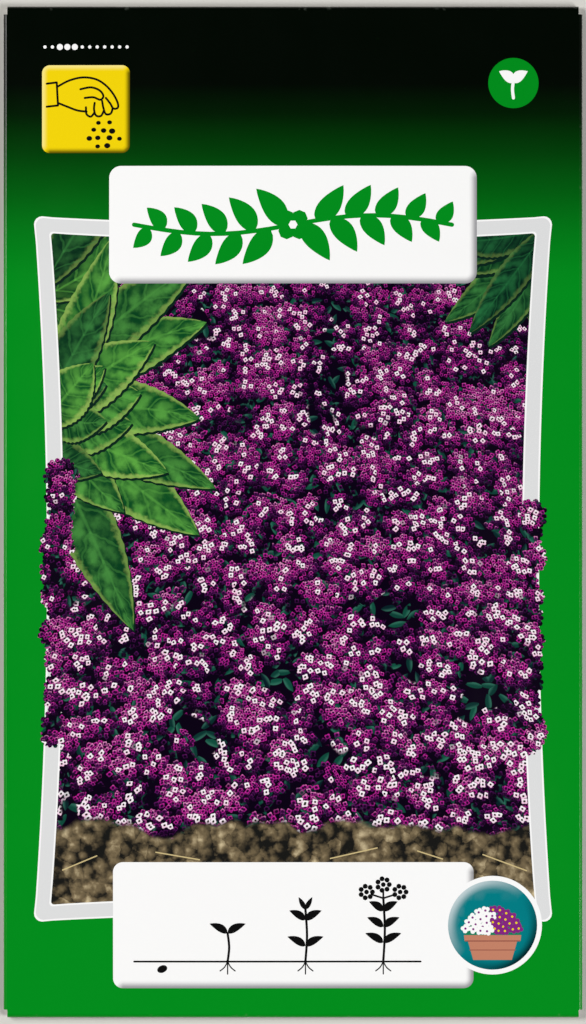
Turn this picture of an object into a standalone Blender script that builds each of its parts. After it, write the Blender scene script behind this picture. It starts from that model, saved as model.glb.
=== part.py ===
"""Seed packet: a folded and glued paper bag that lies on its back, with a sachet of seeds in it.

The sheet is drawn flat, in u across and v along, and then folded round by a formula.
Sizes are in millimetres and become metres when a mesh is made.
"""

import math
import random

import bmesh
import bpy

MM = 0.001

# Outside of the bag
WIDTH = 93.0
HEIGHT = 162.5
PAPER = 0.2
LAYER_STEP = 0.4

# Folds, as radii of the middle of the paper
SIDE_FOLD_RADIUS = 0.5
END_FOLD_RADIUS = 0.7
FOLD_STEPS = 6

# Flaps and lap on the back
BOTTOM_FLAP = 12.0
TOP_FLAP = 15.0
FLAP_TAPER = 7.0
BACK_INSET = 0.5
LAP_HALF_WIDTH = 6.0
LAP_RAMP = 6.0

# Swell of the front and the flat spot that the bag rests on
FRONT_SWELL = 2.1
SWELL_POWER = 3.0
SWELL_EASE = 1.5
FLAT_HALF_WIDTH = 30.0
FLAT_HALF_LENGTH = 52.0
SIDE_RAMP = 14.0
END_RAMP = 11.0

# Cells of the flat sheet
FRONT_CELL = 7.0
FLAP_CELL = 4.0

# Glue lines
GLUE_THICKNESS = 0.16
SEAM_GLUE_HALF_WIDTH = 4.0
SEAM_GLUE_END_MARGIN = 4.0
FLAP_GLUE_HALF_WIDTH = 35.0
FLAP_GLUE_LENGTH = 6.0
FLAP_GLUE_MARGIN = 3.0

# Sachet
SACHET_WIDTH = 60.0
SACHET_LENGTH = 84.0
SACHET_FOIL = 0.15
SACHET_FOLD_RADIUS = 0.15
SACHET_SEAL = 3.5
SACHET_FLOOR = 1.0
SACHET_SWELL = 1.45
SACHET_PLATEAU = 0.62
SACHET_CELL = 4.5
SACHET_SQUARENESS = 4.0

# Seeds
SEED_LENGTH = 1.9
SEED_WIDTH = 1.4
SEED_DEPTH = 1.05
SEED_PITCH = 3.3
SEED_JITTER = 0.4
SEED_PATCH = 0.55
SEED_LEVEL = 1.875
SEED_BED_DEPTH = 0.4
SEED_RANDOM = 11

# Places that follow from the sizes
HALF_PAPER = PAPER / 2
HALF_FRONT = WIDTH / 2 - SIDE_FOLD_RADIUS - HALF_PAPER
HALF_BODY = HEIGHT / 2 - END_FOLD_RADIUS - HALF_PAPER
SIDE_ARC = math.pi * SIDE_FOLD_RADIUS
END_ARC = math.pi * END_FOLD_RADIUS
TABLE_LEVEL = HALF_PAPER
RIM_BACK_LEVEL = TABLE_LEVEL + LAYER_STEP
RIM_FRONT_LEVEL = RIM_BACK_LEVEL + 2 * SIDE_FOLD_RADIUS
WING = HALF_FRONT + LAP_HALF_WIDTH


def smooth_step(value, start, end):
    """Rise smoothly from 0 at start to 1 at end."""
    share = min(max((value - start) / (end - start), 0.0), 1.0)
    return share * share * (3.0 - 2.0 * share)


def stations(stops, cell):
    """Places from the first stop to the last, through every stop, no further than cell apart."""
    places = [stops[0]]
    for start, end in zip(stops, stops[1:]):
        steps = max(1, math.ceil((end - start) / cell - 1e-9))
        for step in range(1, steps + 1):
            places.append(start + (end - start) * step / steps)
    return places


def arc_stations(start, end):
    """Evenly spaced places over a fold, without its first one."""
    return [start + (end - start) * step / FOLD_STEPS for step in range(1, FOLD_STEPS + 1)]


def mirrored(places):
    """The given rising places from zero up, with the same ones below zero."""
    return [-place for place in reversed(places) if place > 0] + places


def back_level(x, y):
    """Height of the middle of the back: flat on the table, and lifted along the edges."""
    side = smooth_step(abs(x), FLAT_HALF_WIDTH, FLAT_HALF_WIDTH + SIDE_RAMP)
    end = smooth_step(abs(y), FLAT_HALF_LENGTH, FLAT_HALF_LENGTH + END_RAMP)
    lift = 1.0 - (1.0 - side) * (1.0 - end)
    return TABLE_LEVEL + LAYER_STEP * lift


def lap_lift(x):
    """How far the left half of the back is raised where it lies on the right half."""
    return LAYER_STEP * smooth_step(x, -LAP_HALF_WIDTH - LAP_RAMP, -LAP_HALF_WIDTH - 0.5)


def swell(place, half):
    """Share of the front's swell at a place between its middle and its edge."""
    share = min(abs(place) / half, 1.0)
    return (1.0 - share ** SWELL_POWER) ** SWELL_EASE


def front_level(x, y):
    """Height of the middle of the front, pushed up by the sachet."""
    return RIM_FRONT_LEVEL + FRONT_SWELL * swell(x, HALF_FRONT) * swell(y, HALF_BODY)


def flap_narrowing(beyond_fold, flap):
    """Share of its width that a flap keeps, this far past its fold."""
    return 1.0 - FLAP_TAPER / HALF_FRONT * max(beyond_fold, 0.0) / flap


def fold_bag(u, v):
    """Place of a point of the flat sheet in the folded bag."""
    if abs(v) > HALF_BODY:
        past = abs(v) - HALF_BODY
        end = math.copysign(1.0, v)
        flap = TOP_FLAP if v > 0 else BOTTOM_FLAP
        if past <= END_ARC:
            turn = past / END_FOLD_RADIUS
            rise = END_FOLD_RADIUS * math.cos(turn)
            y = end * (HALF_BODY + END_FOLD_RADIUS * math.sin(turn))
            return u, y, RIM_FRONT_LEVEL - END_FOLD_RADIUS + rise
        x = u * flap_narrowing(past - END_ARC, flap)
        return x, end * (HALF_BODY - past + END_ARC), TABLE_LEVEL
    if abs(u) <= HALF_FRONT:
        return u, v, front_level(u, v)
    past = abs(u) - HALF_FRONT
    side = math.copysign(1.0, u)
    if past <= SIDE_ARC:
        turn = past / SIDE_FOLD_RADIUS
        x = side * (HALF_FRONT + SIDE_FOLD_RADIUS * math.sin(turn))
        return x, v, RIM_BACK_LEVEL + SIDE_FOLD_RADIUS * (1.0 + math.cos(turn))
    x = side * (HALF_FRONT - past + SIDE_ARC)
    lift = lap_lift(x) if side < 0 else 0.0
    return x, v, back_level(x, v) + lift


def sachet_swell(x, y):
    """Share of the sachet's swell: a flat-topped dome inside the sealed rim."""
    across = abs(x) / (SACHET_WIDTH / 2 - SACHET_SEAL)
    along = abs(y) / (SACHET_LENGTH / 2 - SACHET_SEAL)
    reach = (across ** SACHET_SQUARENESS + along ** SACHET_SQUARENESS) ** (1 / SACHET_SQUARENESS)
    return 1.0 - smooth_step(reach, SACHET_PLATEAU, 1.0)


def fold_sachet(u, v):
    """Place of a point of the flat foil: its back for v below 0, its front for v above."""
    half_arc = math.pi * SACHET_FOLD_RADIUS / 2
    fold_y = SACHET_FOLD_RADIUS + SACHET_FOIL / 2 - SACHET_LENGTH / 2
    past = abs(v) - half_arc
    if past < 0:
        turn = v / SACHET_FOLD_RADIUS
        y = fold_y - SACHET_FOLD_RADIUS * math.cos(turn)
        return u, y, SACHET_FLOOR + SACHET_FOLD_RADIUS * (1.0 + math.sin(turn))
    if v < 0:
        return u, fold_y + past, SACHET_FLOOR
    y = fold_y + past
    rise = 2 * SACHET_FOLD_RADIUS + SACHET_SWELL * sachet_swell(u, y)
    return u, y, SACHET_FLOOR + rise


def clear_scene():
    """Remove every object, so that the script can be run again."""
    for item in list(bpy.data.objects):
        bpy.data.objects.remove(item, do_unlink=True)


def new_collection(name):
    """A fresh collection in the scene."""
    group = bpy.data.collections.new(name)
    bpy.context.scene.collection.children.link(group)
    return group


def new_material(name, colour, roughness, metallic=0.0):
    """A Principled material of one colour."""
    material = bpy.data.materials.new(name)
    material.use_nodes = True
    shader = material.node_tree.nodes["Principled BSDF"]
    shader.inputs["Base Color"].default_value = (*colour, 1.0)
    shader.inputs["Roughness"].default_value = roughness
    shader.inputs["Metallic"].default_value = metallic
    return material


def add_object(name, form, group, material):
    """Turn a bmesh in metres into an object of the collection."""
    mesh = bpy.data.meshes.new(name)
    form.to_mesh(mesh)
    form.free()
    mesh.materials.append(material)
    piece = bpy.data.objects.new(name, mesh)
    group.objects.link(piece)
    return piece


def folded_sheet(name, across, along, keep, place, thickness, group, material):
    """A sheet cut from a grid of cells, folded by a formula and given its thickness."""
    form = bmesh.new()
    columns = len(across) - 1
    rows = len(along) - 1
    bmesh.ops.create_grid(form, x_segments=columns, y_segments=rows, size=0.5)
    flat = {}
    for corner in form.verts:
        column = round((corner.co.x + 0.5) * columns)
        row = round((corner.co.y + 0.5) * rows)
        flat[corner] = (across[column], along[row])
    waste = []
    for face in form.faces:
        u = sum(flat[corner][0] for corner in face.verts) / len(face.verts)
        v = sum(flat[corner][1] for corner in face.verts) / len(face.verts)
        if not keep(u, v):
            waste.append(face)
    for corner, (u, v) in flat.items():
        x, y, z = place(u, v)
        corner.co = (x * MM, y * MM, z * MM)
    bmesh.ops.delete(form, geom=waste, context="FACES")
    bmesh.ops.triangulate(form, faces=form.faces[:])
    piece = add_object(name, form, group, material)
    piece.data.shade_smooth()
    wall = piece.modifiers.new("Paper thickness", "SOLIDIFY")
    wall.thickness = thickness * MM
    wall.offset = 0.0
    wall.use_even_offset = True
    return piece


def body_stations():
    """Places along the bag's body, from one end fold to the other."""
    flat_end = FLAT_HALF_LENGTH + END_RAMP
    stops = [0.0, FLAT_HALF_LENGTH, flat_end, HALF_BODY - BACK_INSET]
    cells = stations(stops[:2], FRONT_CELL)
    cells += stations(stops[1:3], END_RAMP / 4)[1:]
    cells += stations(stops[2:], FRONT_CELL)[1:]
    return mirrored(cells)


def make_paper_bag(group):
    """The printed sheet: front, side folds, lapped back, and a flap folded over at each end."""
    inner_ramp = HALF_FRONT - LAP_HALF_WIDTH - LAP_RAMP
    outer_ramp = HALF_FRONT - FLAT_HALF_WIDTH - SIDE_RAMP
    wing = stations([0.0, outer_ramp], FRONT_CELL)[1:]
    wing += stations([outer_ramp, HALF_FRONT - FLAT_HALF_WIDTH], SIDE_RAMP / 4)[1:]
    wing += stations([HALF_FRONT - FLAT_HALF_WIDTH, inner_ramp], FRONT_CELL * 2)[1:]
    wing += stations([inner_ramp, inner_ramp + LAP_RAMP - 0.5], LAP_RAMP / 4)[1:]
    wing += stations([inner_ramp + LAP_RAMP - 0.5, WING], FRONT_CELL)[1:]
    half = stations([0.0, HALF_FRONT], FRONT_CELL)
    half += arc_stations(HALF_FRONT, HALF_FRONT + SIDE_ARC)
    half += [HALF_FRONT + SIDE_ARC + place for place in wing]
    across = mirrored(half)

    fold_end = HALF_BODY + END_ARC
    top = [HALF_BODY] + arc_stations(HALF_BODY, fold_end)
    flap_top = stations([fold_end, fold_end + TOP_FLAP], FLAP_CELL)[1:]
    flap_bottom = stations([fold_end, fold_end + BOTTOM_FLAP], FLAP_CELL)[1:]
    below = [-place for place in reversed(top + flap_bottom)]
    along = below + body_stations() + top + flap_top

    def keep(u, v):
        return abs(u) < HALF_FRONT or abs(v) < HALF_BODY - BACK_INSET

    material = new_material("printed paper", (0.03, 0.27, 0.02), 0.35)
    return folded_sheet("paper_bag", across, along, keep, fold_bag, PAPER, group, material)


def make_seam_glue(group):
    """The glue line between the two lapped halves of the back."""
    reach = HALF_BODY - SEAM_GLUE_END_MARGIN
    along = [-reach] + [place for place in body_stations() if abs(place) < reach] + [reach]
    across = [-SEAM_GLUE_HALF_WIDTH, SEAM_GLUE_HALF_WIDTH]

    def place(u, v):
        return u, v, back_level(u, v) + LAYER_STEP / 2

    def keep(u, v):
        return True

    material = new_material("dried glue", (0.8, 0.76, 0.62), 0.4)
    return folded_sheet("seam_glue", across, along, keep, place, GLUE_THICKNESS, group, material)


def make_flap_glue(name, end, group):
    """The glue line that holds the flap of one end to the back."""
    fold_edge = HALF_BODY - FLAP_GLUE_MARGIN
    y = end * (fold_edge - FLAP_GLUE_LENGTH / 2)
    form = bmesh.new()
    bmesh.ops.create_cube(form, size=1.0)
    size = (2 * FLAP_GLUE_HALF_WIDTH * MM, FLAP_GLUE_LENGTH * MM, GLUE_THICKNESS * MM)
    bmesh.ops.scale(form, vec=size, verts=form.verts)
    middle = (0.0, y * MM, (TABLE_LEVEL + LAYER_STEP / 2) * MM)
    bmesh.ops.translate(form, vec=middle, verts=form.verts)
    material = new_material("dried glue", (0.8, 0.76, 0.62), 0.4)
    return add_object(name, form, group, material)


def make_sachet(group):
    """The foil sachet: folded at the bottom, swollen by the seeds inside its sealed rim."""
    seal_x = SACHET_WIDTH / 2 - SACHET_SEAL
    half = stations([0.0, seal_x], SACHET_CELL) + [SACHET_WIDTH / 2]
    across = mirrored(half)
    half_arc = math.pi * SACHET_FOLD_RADIUS / 2
    run = SACHET_LENGTH - SACHET_FOLD_RADIUS - SACHET_FOIL / 2
    front = [half_arc + SACHET_SEAL, half_arc + run - SACHET_SEAL]
    front = stations([half_arc] + front + [half_arc + run], SACHET_CELL)
    turn = [half_arc * share for share in (-1.0, -0.5, 0.0, 0.5)]
    along = [-half_arc - run, -half_arc - run / 2] + turn + front

    def keep(u, v):
        return True

    material = new_material("sachet foil", (0.78, 0.79, 0.8), 0.3, 1.0)
    return folded_sheet(
        "seed_sachet", across, along, keep, fold_sachet, SACHET_FOIL, group, material
    )


def seed_places():
    """Centres and turns of the seeds, in staggered rows with some scatter."""
    draw = random.Random(SEED_RANDOM)
    half_x = SEED_PATCH * (SACHET_WIDTH / 2 - SACHET_SEAL)
    half_y = SEED_PATCH * (SACHET_LENGTH / 2 - SACHET_SEAL)
    row_step = SEED_PITCH * math.sqrt(3) / 2
    rows = int(half_y / row_step)
    columns = int(half_x / SEED_PITCH) + 1
    places = []
    for row in range(-rows, rows + 1):
        shift = SEED_PITCH / 2 if row % 2 else 0.0
        for column in range(-columns, columns + 1):
            x = column * SEED_PITCH + shift + draw.uniform(-SEED_JITTER, SEED_JITTER)
            y = row * row_step + draw.uniform(-SEED_JITTER, SEED_JITTER)
            turn = draw.uniform(0.0, math.pi)
            size = draw.uniform(0.88, 1.08)
            reach = (abs(x) / half_x) ** 4 + (abs(y) / half_y) ** 4
            if reach < 1.0:
                places.append((x, y, turn, size))
    return places


def make_seeds(group, loose):
    """A layer of small flat seeds, fused by a thin bed that stands for where they touch."""
    material = new_material("seed skin", (0.45, 0.2, 0.07), 0.6)
    places = seed_places()
    for number, (x, y, turn, size) in enumerate(places):
        bpy.ops.mesh.primitive_ico_sphere_add(subdivisions=1, radius=0.5)
        seed = bpy.context.object
        seed.name = f"seed.{number:03d}"
        seed.scale = (SEED_LENGTH * size * MM, SEED_WIDTH * size * MM, SEED_DEPTH * MM)
        seed.rotation_euler = (0.0, 0.0, turn)
        seed.location = (x * MM, y * MM, SEED_LEVEL * MM)
        seed.data.transform(seed.matrix_basis)
        seed.matrix_basis.identity()
        move_to(seed, loose)

    form = bmesh.new()
    bmesh.ops.create_cube(form, size=1.0)
    reach_x = max(abs(place[0]) for place in places)
    reach_y = max(abs(place[1]) for place in places)
    size = (2 * reach_x * MM, 2 * reach_y * MM, SEED_BED_DEPTH * MM)
    bmesh.ops.scale(form, vec=size, verts=form.verts)
    bmesh.ops.translate(form, vec=(0.0, 0.0, SEED_LEVEL * MM), verts=form.verts)
    bed = add_object("seeds", form, group, material)

    union = bed.modifiers.new("Seeds fused", "BOOLEAN")
    union.operation = "UNION"
    union.operand_type = "COLLECTION"
    union.collection = loose
    union.solver = "EXACT"
    graph = bpy.context.evaluated_depsgraph_get()
    fused = bpy.data.meshes.new_from_object(bed.evaluated_get(graph))
    bed.modifiers.clear()
    bed.data = fused
    for seed in list(loose.objects):
        bpy.data.objects.remove(seed, do_unlink=True)
    bpy.data.collections.remove(loose)
    return bed


def move_to(piece, group):
    """Leave the piece in this collection only."""
    for owner in list(piece.users_collection):
        owner.objects.unlink(piece)
    group.objects.link(piece)


def main():
    clear_scene()
    packet = new_collection("seed_packet")
    make_paper_bag(packet)
    make_seam_glue(packet)
    make_flap_glue("bottom_glue", -1.0, packet)
    make_flap_glue("flap_glue", 1.0, packet)
    make_sachet(packet)
    make_seeds(packet, new_collection("loose seeds"))


main()
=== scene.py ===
"""Seed packet: the printed paper bag, its glue lines, and the sachet of seeds inside it.

The bag is one sheet. Its printing is drawn flat, in millimetres, u to the right and v up from
the middle of the front, and cut into the sheet's own faces, which are then folded round.
"""

import math
import random

import bmesh
import bpy
import numpy as np
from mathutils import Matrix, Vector, noise
from mathutils.geometry import delaunay_2d_cdt
from mathutils.kdtree import KDTree


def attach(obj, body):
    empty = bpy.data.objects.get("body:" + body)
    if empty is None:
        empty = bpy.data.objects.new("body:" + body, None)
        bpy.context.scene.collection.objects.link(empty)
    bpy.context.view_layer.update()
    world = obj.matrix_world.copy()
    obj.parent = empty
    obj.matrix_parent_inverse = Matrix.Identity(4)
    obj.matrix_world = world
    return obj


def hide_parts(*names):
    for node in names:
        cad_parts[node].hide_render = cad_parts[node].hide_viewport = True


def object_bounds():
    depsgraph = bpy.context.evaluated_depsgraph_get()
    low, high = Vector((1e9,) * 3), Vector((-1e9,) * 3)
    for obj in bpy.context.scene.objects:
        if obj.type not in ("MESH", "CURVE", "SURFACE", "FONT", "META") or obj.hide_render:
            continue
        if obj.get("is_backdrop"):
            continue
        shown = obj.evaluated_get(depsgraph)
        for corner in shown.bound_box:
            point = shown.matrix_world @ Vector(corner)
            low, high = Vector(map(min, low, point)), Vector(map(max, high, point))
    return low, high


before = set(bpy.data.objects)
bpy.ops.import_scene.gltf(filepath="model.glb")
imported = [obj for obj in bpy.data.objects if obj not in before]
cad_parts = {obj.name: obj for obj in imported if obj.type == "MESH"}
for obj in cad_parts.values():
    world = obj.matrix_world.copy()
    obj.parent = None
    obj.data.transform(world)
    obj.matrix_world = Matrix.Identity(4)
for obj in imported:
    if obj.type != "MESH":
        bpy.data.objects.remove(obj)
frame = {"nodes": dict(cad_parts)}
cad_low, cad_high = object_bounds()

bl_info = {
    "name": "Seed packet",
    "version": (1, 0, 0),
    "blender": (4, 5, 0),
    "location": "3D view > Sidebar > Packet",
    "description": "Folds a printed seed packet round the packed model and fills it",
    "category": "Object",
}

MM = 0.001
ROOT = "root"


def colour(red, green, blue):
    """A screen colour, 0 to 255, as Blender's linear one."""
    linear = []
    for part in (red, green, blue):
        share = part / 255
        low = share <= 0.04045
        linear.append(share / 12.92 if low else ((share + 0.055) / 1.055) ** 2.4)
    return (*linear, 1.0)


def ink_property(name, description, screen):
    """A colour that a user may change."""
    return bpy.props.FloatVectorProperty(
        name=name, description=description, default=colour(*screen), size=4, subtype="COLOR"
    )


def length_property(name, description, default):
    """A length that a user may change, in metres."""
    return bpy.props.FloatProperty(
        name=name, description=description, default=default, unit="LENGTH", subtype="DISTANCE"
    )


class PacketSizes(bpy.types.PropertyGroup):
    """Sizes of the paper bag and of the sachet in it."""

    width: length_property("Width", "Width of the bag", cad_high.x - cad_low.x)
    height: length_property("Height", "Height of the bag", cad_high.y - cad_low.y)
    paper: length_property("Paper", "Thickness of the paper", 0.0002)
    layer_step: length_property("Layer step", "From one layer of paper to the next", 0.0004)
    side_fold: length_property("Side fold", "Radius of the side folds", 0.0005)
    end_fold: length_property("End fold", "Radius of the folds at the ends", 0.0007)
    bottom_flap: length_property("Bottom flap", "Length of the bottom flap", 0.012)
    top_flap: length_property("Top flap", "Length of the top flap", 0.015)
    flap_taper: length_property("Flap taper", "How much a flap narrows on each side", 0.007)
    lap: length_property("Lap", "Half width of the lap on the back", 0.006)
    swell: length_property("Swell", "How far the filled sachet pushes the front up", 0.0021)
    cell: length_property("Cell", "Spacing of the sheet's points", 0.0019)
    sachet_width: length_property("Sachet width", "Width of the inner sachet", 0.06)
    sachet_length: length_property("Sachet length", "Length of the inner sachet", 0.084)
    seal: length_property("Seal", "Width of the sachet's sealed rim", 0.0035)
    seed_gap: length_property("Seed gap", "Least distance between two seeds", 0.0019)


class PrintColours(bpy.types.PropertyGroup):
    """Inks of the printing."""

    field: ink_property("Field", "Green of the background", (0, 141, 28))
    field_top: ink_property("Field top", "Darkest colour at the top edge", (0, 5, 0))
    panel: ink_property("Panel", "White of the two panels", (252, 252, 252))
    panel_shade: ink_property("Panel shade", "Grey of the panels' shaded rim", (150, 150, 154))
    frame: ink_property("Frame", "Grey of the picture's border", (223, 224, 225))
    button: ink_property("Button", "Yellow of the sowing sign", (244, 214, 8))
    button_light: ink_property("Button light", "Lit rim of the sowing sign", (252, 234, 140))
    button_dark: ink_property("Button dark", "Shaded rim of the sowing sign", (88, 76, 0))
    line: ink_property("Line", "Black of the line drawings", (12, 12, 12))
    badge: ink_property("Badge", "Teal of the round badge", (0, 125, 133))
    badge_light: ink_property("Badge light", "Lit rim of the round badge", (196, 212, 216))
    badge_dark: ink_property("Badge dark", "Shaded rim of the round badge", (0, 22, 26))
    clay: ink_property("Clay", "Terracotta of the drawn planter", (196, 130, 104))
    clay_dark: ink_property("Clay dark", "Shaded terracotta", (140, 76, 66))
    shadow: ink_property("Shadow", "Dark between the flowers", (8, 0, 18))
    purple: ink_property("Purple", "Petals in the shade", (84, 20, 92))
    magenta: ink_property("Magenta", "Petals in the light", (194, 36, 152))
    pink: ink_property("Pink", "Palest petals of the flanks", (244, 168, 214))
    petal_white: ink_property("Petal white", "Petals of the crowns", (252, 248, 252))
    foliage: ink_property("Foliage", "Small leaves among the flowers", (16, 84, 66))
    soil: ink_property("Soil", "Soil at the edge of the flowers", (124, 108, 80))


class FlowerPrint(bpy.types.PropertyGroup):
    """How the flower picture is laid out."""

    floret: length_property("Floret", "Spacing of the florets in front", 0.00108)
    head: length_property("Head", "Spacing of the flower heads in front", 0.0046)
    far_size: bpy.props.FloatProperty(
        name="Far size",
        description="Size at the top of the picture as a share of that in front",
        default=0.64,
        subtype="FACTOR",
    )
    seed: bpy.props.IntProperty(name="Seed", description="Start of random draws", default=7)


def sizes_mm():
    """The bag's sizes, in millimetres."""
    group = bpy.context.scene.packet_sizes
    return {name: getattr(group, name) / MM for name in PacketSizes.__annotations__}


def inks():
    """The printing's inks by name."""
    group = bpy.context.scene.print_colours
    return {name: tuple(getattr(group, name)) for name in PrintColours.__annotations__}


def smooth_step(value, start, end):
    """Rise smoothly from 0 at start to 1 at end."""
    share = min(max((value - start) / (end - start), 0.0), 1.0)
    return share * share * (3.0 - 2.0 * share)


def between(start, end, share):
    """The point at this share of the way from start to end."""
    return tuple(a + (b - a) * share for a, b in zip(start, end))


# The folded sheet


class Blank:
    """The flat sheet, and where each of its points lies once it is folded."""

    # Flat middle of the back that the bag rests on, and the slopes round it
    FLAT_HALF_WIDTH = 30.0
    FLAT_HALF_LENGTH = 52.0
    SIDE_RAMP = 14.0
    END_RAMP = 11.0
    # How the upper half of the back rises onto the lap, and stops short of the ends
    LAP_RAMP = 6.0
    LAP_STEP = 0.5
    BACK_INSET = 0.5
    # Roundness of the front's swell
    SWELL_POWER = 3.0
    SWELL_EASE = 1.5
    # Waves and dents of the front, which die out near its edges, and the sachet's print
    EDGE_CALM = 7.0
    WAVE = 0.16
    WAVE_LENGTH = 34.0
    DENT = 0.05
    DENT_LENGTH = 11.0
    IMPRINT = 0.16
    IMPRINT_WIDTH = 2.4
    # Steps round a fold, and how much coarser the back is cut
    FOLD_STEPS = 8
    BACK_COARSER = 1.3

    def __init__(self, sizes):
        self.sizes = sizes
        paper = sizes["paper"]
        self.half_front = sizes["width"] / 2 - sizes["side_fold"] - paper / 2
        self.half_body = sizes["height"] / 2 - sizes["end_fold"] - paper / 2
        self.side_arc = math.pi * sizes["side_fold"]
        self.end_arc = math.pi * sizes["end_fold"]
        self.table = paper / 2
        self.rim_back = self.table + sizes["layer_step"]
        self.rim_front = self.rim_back + 2 * sizes["side_fold"]
        self.wing = self.half_front + sizes["lap"]
        self.half_back = self.half_body - self.BACK_INSET

    def outline(self):
        """Corners of the cut sheet, with a flap at each end and a wing on each side."""
        side = self.half_front
        far = side + self.side_arc + self.wing
        back = self.half_back
        corners = []
        for end, flap in ((1, self.sizes["top_flap"]), (-1, self.sizes["bottom_flap"])):
            tip = self.half_body + self.end_arc + flap
            corners += [
                (end * far, end * back),
                (end * side, end * back),
                (end * side, end * tip),
                (-end * side, end * tip),
                (-end * side, end * back),
                (-end * far, end * back),
            ]
        return corners

    def flap_length(self, v):
        return self.sizes["top_flap"] if v > 0 else self.sizes["bottom_flap"]

    def keep(self, u, v):
        """Whether the flat point is on the sheet."""
        if abs(u) < self.half_front:
            return abs(v) < self.half_body + self.end_arc + self.flap_length(v)
        return abs(v) < self.half_back and abs(u) < self.half_front + self.side_arc + self.wing

    def swell(self, place, half):
        """Share of the swell at this place between the middle and the edge."""
        share = min(abs(place) / half, 1.0)
        return (1.0 - share ** self.SWELL_POWER) ** self.SWELL_EASE

    def back_level(self, x, y):
        side = smooth_step(abs(x), self.FLAT_HALF_WIDTH, self.FLAT_HALF_WIDTH + self.SIDE_RAMP)
        end = smooth_step(abs(y), self.FLAT_HALF_LENGTH, self.FLAT_HALF_LENGTH + self.END_RAMP)
        return self.table + self.sizes["layer_step"] * (1.0 - (1.0 - side) * (1.0 - end))

    def lap_lift(self, x):
        """How far the upper half of the back lies over the lower one."""
        edge = -self.sizes["lap"]
        return self.sizes["layer_step"] * smooth_step(x, edge - self.LAP_RAMP, edge - self.LAP_STEP)

    def relief(self, u, v):
        """Small waves of the front, and the print of the sachet under it."""
        calm = smooth_step(self.half_front - abs(u), 0.0, self.EDGE_CALM)
        calm *= smooth_step(self.half_body - abs(v), 0.0, self.EDGE_CALM)
        long_wave = noise.noise(Vector((u, v, 3.0)) / self.WAVE_LENGTH)
        dent = noise.noise(Vector((u, v, 40.0)) / self.DENT_LENGTH)
        across = abs(u) - self.sizes["sachet_width"] / 2
        along = abs(v) - self.sizes["sachet_length"] / 2
        inside = 1.0 - smooth_step(max(across, along), -self.IMPRINT_WIDTH, self.IMPRINT_WIDTH)
        return calm * (self.WAVE * long_wave + self.DENT * dent + self.IMPRINT * inside)

    def front_level(self, u, v):
        swell = self.swell(u, self.half_front) * self.swell(v, self.half_body)
        return self.rim_front + self.sizes["swell"] * swell + self.relief(u, v)

    def place(self, u, v):
        """Place of a flat point in the folded bag, in millimetres."""
        if abs(v) > self.half_body:
            return self.place_at_end(u, v)
        if abs(u) <= self.half_front:
            return u, v, self.front_level(u, v)
        past = abs(u) - self.half_front
        side = math.copysign(1.0, u)
        radius = self.sizes["side_fold"]
        if past <= self.side_arc:
            turn = past / radius
            x = side * (self.half_front + radius * math.sin(turn))
            return x, v, self.rim_back + radius * (1.0 + math.cos(turn))
        x = side * (self.half_front - past + self.side_arc)
        lift = self.lap_lift(x) if side < 0 else 0.0
        return x, v, self.back_level(x, v) + lift

    def place_at_end(self, u, v):
        past = abs(v) - self.half_body
        end = math.copysign(1.0, v)
        radius = self.sizes["end_fold"]
        if past <= self.end_arc:
            turn = past / radius
            y = end * (self.half_body + radius * math.sin(turn))
            return u, y, self.rim_front - radius * (1.0 - math.cos(turn))
        run = past - self.end_arc
        narrowing = self.sizes["flap_taper"] / self.half_front * run / self.flap_length(v)
        return u * (1.0 - narrowing), end * (self.half_body - run), self.table

    def normal(self, u, v):
        """Direction of the printed side at a flat point."""
        step = 0.01
        ahead, behind = Vector(self.place(u + step, v)), Vector(self.place(u - step, v))
        above, below = Vector(self.place(u, v + step)), Vector(self.place(u, v - step))
        return (ahead - behind).cross(above - below).normalized()

    def wear(self, u, v):
        """How much a point rubs: 1 on the outside of a fold, 0 on a flat face."""
        side = (abs(u) - self.half_front) / self.side_arc
        end = (abs(v) - self.half_body) / self.end_arc
        rub = [math.sin(math.pi * share) for share in (side, end) if 0.0 < share < 1.0]
        return max(rub, default=0.0)

    def grid(self, cell):
        """Points all over the sheet, in rows that run along the folds."""
        fold_side = self.half_front + self.side_arc
        coarse = cell * self.BACK_COARSER
        across = spaced(0.0, self.half_front, cell)
        across += spaced(self.half_front, fold_side, 0, self.FOLD_STEPS)[1:]
        across += spaced(fold_side, fold_side + self.wing, coarse)[1:]
        rows = spaced(0.0, self.half_back, cell) + [self.half_body]
        fold_end = self.half_body + self.end_arc
        rows += spaced(self.half_body, fold_end, 0, self.FOLD_STEPS)[1:]
        points = []
        for end, flap in ((1, self.sizes["top_flap"]), (-1, self.sizes["bottom_flap"])):
            along = rows + spaced(fold_end, fold_end + flap, coarse)[1:]
            for v in along:
                points += [(side * u, end * v) for u in across for side in (1, -1)]
        edge = 1e-6
        return sorted({(u, v) for u, v in points if self.keep(abs(u) - edge, v * (1 - edge))})


def spaced(start, end, cell, steps=0):
    """Even places from start to end, no further than cell apart or in this many steps."""
    steps = steps or max(1, math.ceil((end - start) / cell))
    return [start + (end - start) * step / steps for step in range(steps + 1)]


# Flat drawing


class Shape:
    """One printed shape: an outline, its ink, and what its points know about themselves."""

    def __init__(self, outline, ink, tone=0.5, own=None, shade=None, clip=None, contours=()):
        self.outline = np.array(outline)
        self.ink = ink
        self.tone = tone
        self.own = own or (lambda u, v: (0.0, 0.0))
        self.shade = shade or (lambda u, v: 0.0)
        self.clip = clip
        self.contours = [np.array(line) for line in contours]


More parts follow.
